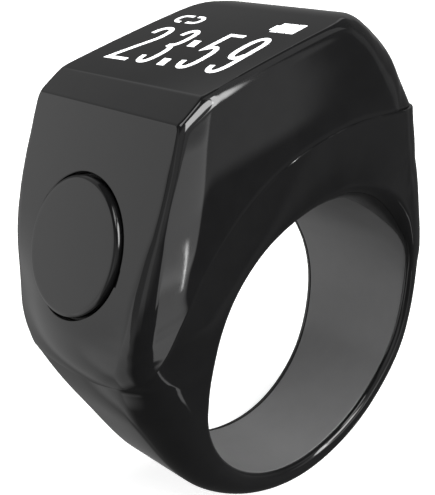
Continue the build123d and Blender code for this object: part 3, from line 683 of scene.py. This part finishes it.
# ------------------------------------------------------------------ materials
def material(name, color, rough, metal=0.0, vary=0.12, scale=900.0, bump=0.02, bump_scale=4000.0, rough_vary=0.25, spec=0.5, coat=0.0, coat_rough=0.03):
    m = bpy.data.materials.new(name)
    m.use_nodes = True
    nt = m.node_tree
    bsdf = nt.nodes["Principled BSDF"]
    co = nt.nodes.new("ShaderNodeTexCoord")
    n1 = nt.nodes.new("ShaderNodeTexNoise")
    n1.inputs["Scale"].default_value = scale
    n1.inputs["Detail"].default_value = 4.0
    nt.links.new(co.outputs["Object"], n1.inputs["Vector"])
    ramp = nt.nodes.new("ShaderNodeValToRGB")
    ramp.color_ramp.elements[0].position, ramp.color_ramp.elements[1].position = 0.3, 0.7
    ramp.color_ramp.elements[0].color = (*[c * (1 - vary) for c in color], 1)
    ramp.color_ramp.elements[1].color = (*[min(1, c * (1 + vary)) for c in color], 1)
    nt.links.new(n1.outputs["Fac"], ramp.inputs["Fac"])
    nt.links.new(ramp.outputs["Color"], bsdf.inputs["Base Color"])
    n2 = nt.nodes.new("ShaderNodeTexNoise")
    n2.inputs["Scale"].default_value = scale * 0.35
    n2.inputs["Detail"].default_value = 3.0
    nt.links.new(co.outputs["Object"], n2.inputs["Vector"])
    mr = nt.nodes.new("ShaderNodeMapRange")
    mr.inputs["From Min"].default_value, mr.inputs["From Max"].default_value = 0.3, 0.7
    mr.inputs["To Min"].default_value, mr.inputs["To Max"].default_value = rough * (1 - rough_vary), rough * (1 + rough_vary)
    nt.links.new(n2.outputs["Fac"], mr.inputs["Value"])
    nt.links.new(mr.outputs["Result"], bsdf.inputs["Roughness"])
    if bump > 0:
        n3 = nt.nodes.new("ShaderNodeTexNoise")
        n3.inputs["Scale"].default_value = bump_scale
        n3.inputs["Detail"].default_value = 2.0
        nt.links.new(co.outputs["Object"], n3.inputs["Vector"])
        b = nt.nodes.new("ShaderNodeBump")
        b.inputs["Strength"].default_value = bump
        b.inputs["Distance"].default_value = 0.00002
        nt.links.new(n3.outputs["Fac"], b.inputs["Height"])
        nt.links.new(b.outputs["Normal"], bsdf.inputs["Normal"])
    bsdf.inputs["Metallic"].default_value = metal
    bsdf.inputs["Specular IOR Level"].default_value = spec
    bsdf.inputs["Coat Weight"].default_value = coat
    bsdf.inputs["Coat Roughness"].default_value = coat_rough
    return m


def put(ob, m):
    ob.data.materials.clear()
    ob.data.materials.append(m)


gloss = material("casing_gloss_black", (0.0065, 0.0065, 0.0068), 0.048, vary=0.10, bump=0.010)
gloss_band = material("band_gloss_black", (0.0065, 0.0065, 0.0068), 0.065, vary=0.10, bump=0.010)
satin = material("sleeve_satin_black", (0.135, 0.135, 0.136), 0.30, vary=0.03, bump=0.02, rough_vary=0.05)
cap_gloss = material("button_gloss_black", (0.0065, 0.0065, 0.0068), 0.055, vary=0.10, bump=0.010)
put(head, gloss)
put(band, gloss_band)
put(sleeve, satin)
put(button, cap_gloss)

glow = bpy.data.materials.new("display_light")
glow.use_nodes = True
nt = glow.node_tree
bsdf = nt.nodes["Principled BSDF"]
co = nt.nodes.new("ShaderNodeTexCoord")
grid = nt.nodes.new("ShaderNodeTexBrick")
grid.offset = 0.0
grid.inputs["Color1"].default_value = (1.0, 1.0, 1.0, 1)
grid.inputs["Color2"].default_value = (0.97, 0.98, 1.0, 1)
grid.inputs["Mortar"].default_value = (0.80, 0.81, 0.83, 1)
grid.inputs["Scale"].default_value = 1000.0
grid.inputs["Mortar Size"].default_value = 0.006
grid.inputs["Brick Width"].default_value = 0.10
grid.inputs["Row Height"].default_value = 0.10
nt.links.new(co.outputs["Object"], grid.inputs["Vector"])
nt.links.new(grid.outputs["Color"], bsdf.inputs["Base Color"])
nt.links.new(grid.outputs["Color"], bsdf.inputs["Emission Color"])
bsdf.inputs["Emission Strength"].default_value = 1.25
bsdf.inputs["Roughness"].default_value = 0.3
for ob in (time_sign, link_sign, battery_sign):
    put(ob, glow)

inside_looks = {
    "silicone_black": ((0.016, 0.016, 0.016), 0.55, 0.0), "plunger_white": ((0.72, 0.71, 0.67), 0.42, 0.0), "switch_black": ((0.03, 0.03, 0.03), 0.45, 0.0),
    "dome_steel": ((0.70, 0.70, 0.70), 0.26, 1.0), "tin_feet": ((0.68, 0.68, 0.66), 0.34, 1.0), "board_green": ((0.02, 0.13, 0.05), 0.38, 0.0),
    "bracket_steel": ((0.60, 0.60, 0.61), 0.32, 1.0), "flex_amber": ((0.42, 0.20, 0.035), 0.35, 0.0), "clear_film": ((0.80, 0.82, 0.83), 0.12, 0.0),
    "display_glass": ((0.010, 0.010, 0.012), 0.06, 0.0), "bracket_black": ((0.035, 0.035, 0.035), 0.5, 0.0), "chip_black": ((0.028, 0.028, 0.028), 0.52, 0.0),
    "can_steel": ((0.74, 0.74, 0.73), 0.24, 1.0), "antenna_white": ((0.78, 0.78, 0.76), 0.40, 0.0), "passive_tan": ((0.40, 0.28, 0.17), 0.45, 0.0),
    "battery_foil": ((0.66, 0.67, 0.68), 0.30, 1.0), "foam_grey": ((0.11, 0.11, 0.11), 0.85, 0.0), "wire_red": ((0.42, 0.03, 0.03), 0.40, 0.0),
    "motor_steel": ((0.64, 0.64, 0.65), 0.28, 1.0), "wire_blue": ((0.03, 0.07, 0.38), 0.40, 0.0), "contact_gold": ((0.83, 0.62, 0.26), 0.20, 1.0),
    "magnet_nickel": ((0.70, 0.69, 0.67), 0.16, 1.0)}
made = {s: material("works_" + s, c, r, metal, bump=0.05) for s, (c, r, metal) in inside_looks.items()}
node_slot = {}
for sub in frame["record"]["subparts"]:
    name = sub.get("node") or sub.get("name")
    node_slot[name] = sub.get("material") or sub.get("material_slot") or sub.get("slot")
for name, ob in frame["nodes"].items():
    slot = node_slot.get(name)
    if slot in made:
        for i in range(max(1, len(ob.material_slots))):
            if ob.material_slots:
                ob.material_slots[i].material = made[slot]
            else:
                ob.data.materials.append(made[slot])

# ------------------------------------------------------------------ floor and light
fl = bpy.data.meshes.new("floor")
fl.from_pydata([(-3, -3, 0), (3, -3, 0), (3, 3, 0), (-3, 3, 0)], [], [(0, 1, 2, 3)])
floor = bpy.data.objects.new("floor", fl)
floor.location = (0, 0, cad_box[0].z - 0.00002)
scene.collection.objects.link(floor)
fm = material("floor_pale", (0.86, 0.86, 0.86), 0.85, vary=0.01, scale=40.0, bump=0.0, spec=0.1)
fb = fm.node_tree.nodes["Principled BSDF"]
fb.inputs["Emission Color"].default_value = (1, 1, 1, 1)
fb.inputs["Emission Strength"].default_value = 0.75
put(floor, fm)
floor.visible_glossy = False
floor.visible_diffuse = False

world = bpy.data.worlds.new("studio")
scene.world = world
world.use_nodes = True
wt = world.node_tree
wt.nodes.clear()
w_out = wt.nodes.new("ShaderNodeOutputWorld")
w_bg = wt.nodes.new("ShaderNodeBackground")
w_co = wt.nodes.new("ShaderNodeTexCoord")
direction = w_co.outputs["Generated"]


def vmath(op, a, b):
    n = wt.nodes.new("ShaderNodeVectorMath")
    n.operation = op
    wt.links.new(a, n.inputs[0])
    n.inputs[1].default_value = b
    return n.outputs["Value"]


def smath(op, a, b=None, c=None):
    n = wt.nodes.new("ShaderNodeMath")
    n.operation = op
    for i, v in enumerate((a, b, c)):
        if v is None:
            continue
        if isinstance(v, (int, float)):
            n.inputs[i].default_value = v
        else:
            wt.links.new(v, n.inputs[i])
    return n.outputs["Value"]


def step_down(v, start, end):
    n = wt.nodes.new("ShaderNodeMapRange")
    n.interpolation_type = "SMOOTHSTEP"
    wt.links.new(v, n.inputs["Value"])
    n.inputs["From Min"].default_value, n.inputs["From Max"].default_value = start, end
    n.inputs["To Min"].default_value, n.inputs["To Max"].default_value = 1.0, 0.0
    return n.outputs["Result"]


def panel(axis, side, upv, u0, u1, v0, v1, level, soft_u=0.06, soft_v=0.06):
    """Far rectangular light, bounded by its slopes seen along an axis, with soft edges."""
    d = smath("MAXIMUM", vmath("DOT_PRODUCT", direction, Vector(axis)), 0.01)
    u = smath("DIVIDE", vmath("DOT_PRODUCT", direction, Vector(side)), d)
    v = smath("DIVIDE", vmath("DOT_PRODUCT", direction, Vector(upv)), d)
    m = None
    for q, a, b, soft in ((u, u0, u1, soft_u), (v, v0, v1, soft_v)):
        k = step_down(smath("ABSOLUTE", smath("SUBTRACT", q, (a + b) / 2)), (b - a) / 2 - soft, (b - a) / 2 + soft)
        m = k if m is None else smath("MULTIPLY", m, k)
    return smath("MULTIPLY", m, level)


X, Y, Z = Vector((1, 0, 0)), Vector((0, 1, 0)), Vector((0, 0, 1))
F_AXIS = Vector((0.40, -0.917, 0))
F_SIDE = Vector((0.917, 0.40, 0))


def along(v, start, end):
    """Falls from one to nothing as the direction's share along v goes from start to end."""
    return step_down(vmath("DOT_PRODUCT", direction, Vector(v)), start, end)


def product(*terms):
    out = terms[0]
    for q in terms[1:]:
        out = smath("MULTIPLY", out, q)
    return out


LEFT = (0.0, -1.0, 0.75)     # the lit wall behind ends on the left in a slanting edge
panels = [
    panel(Y, X, Z, -6.0, 2.4, -1.14, 0.56, 0.11, 0.5, 0.12),                                                           # sweep behind
    product(along(LEFT, -0.08, -0.03), along(-Y, 0.10, 0.25), along(Z, 0.42, 0.52), along((1, 0.3, 0), -0.12, 0.08), along(-Z, 0.76, 0.86), 0.32),  # lit more on the left
    product(along(LEFT, -0.08, -0.03), along(-Y, 0.10, 0.25), along(Z, 0.42, 0.52), along((1, 0.15, 0), -0.15, 0.20), along(-Z, 0.05, 0.80), 0.50),  # most of all above the ground
    panel(Y, X, Z, -1.05, 2.4, 0.56, 1.6, 0.36, 0.03, 0.10),                                                          # dimmer wall above it
    panel(Y, X, Z, 0.30, 2.40, 0.56, 0.95, 0.09, 0.15, 0.10),                                                          # brighter low on the right
    panel(-X, Y, Z, -0.40, 0.80, -1.60, -0.20, 0.36, 0.16, 0.30),                                                     # glow of the ground on the left
    panel(-Y, X, Z, 0.95, 1.60, -1.60, -0.75, 0.07, 0.20, 0.20),                                                      # and of the ground in front on the right
    panel(X, Y, Z, -0.60, -0.20, -0.60, 0.20, 0.12, 0.10, 0.15),                                                      # dim fill from the right
    panel(-X, Y, Z, -0.90, 0.30, -0.30, 1.0, 0.30, 0.10, 0.20),                                                       # dim fill from the left
    panel(-Y, (1, 0, -0.24), Z, 0.45, 0.69, -0.06, 1.30, 11.0, 0.035, 0.06),                                          # tall softbox in front
    panel(-Y, X, Z, -0.06, 0.60, 0.32, 1.12, 11.0, 0.05, 0.06),                                                       # its upper wing
    panel(Z, X, Y, -0.45, 0.10, -0.55, -0.15, 4.0, 0.05, 0.05),                                                       # small lamp overhead
    panel(-Y, X, Z, -2.5, 0.0, -0.1, 0.9, 0.38, 0.4, 0.2),                                                            # dim fill from the front left
    panel(-Y, X, Z, 0.50, 0.96, -0.54, 1.60, 0.42, 0.06, 0.05),                                                       # dim card in front on the right
    panel(-Y, X, Z, 0.05, 0.51, -0.26, 0.34, 0.40, 0.05, 0.03),                                                       # and its left part
    panel(-Y, X, Z, 0.60, 2.60, 0.75, 3.60, 0.45, 0.10, 0.10),                                                        # and its upper part
    panel(F_AXIS, F_SIDE, Z, -0.35, 0.12, -0.62, -0.23, 1.25, 0.02, 0.02),                                            # low card in front
    panel(F_AXIS, F_SIDE, Z, -0.06, 0.08, -1.30, -0.60, 1.15, 0.03, 0.04),                                            # and its lower wing
    panel(F_AXIS, F_SIDE, Z, 0.038, 0.043, -0.66, -0.55, 14.0, 0.002, 0.02),                                          # bright slit on it
]
total = smath("ADD", panels[0], 0.092)
for q in panels[1:]:
    total = smath("ADD", total, q)
lp = wt.nodes.new("ShaderNodeLightPath")
strength = smath("ADD", smath("MULTIPLY", total, smath("SUBTRACT", 1.0, lp.outputs["Is Camera Ray"])), lp.outputs["Is Camera Ray"])
wt.links.new(strength, w_bg.inputs["Strength"])
w_bg.inputs["Color"].default_value = (1, 1, 1, 1)
wt.links.new(w_bg.outputs["Background"], w_out.inputs["Surface"])

scene.view_settings.view_transform = "Standard"
scene.view_settings.look = "None"
scene.view_settings.exposure = 0.0
scene.view_settings.gamma = 1.0
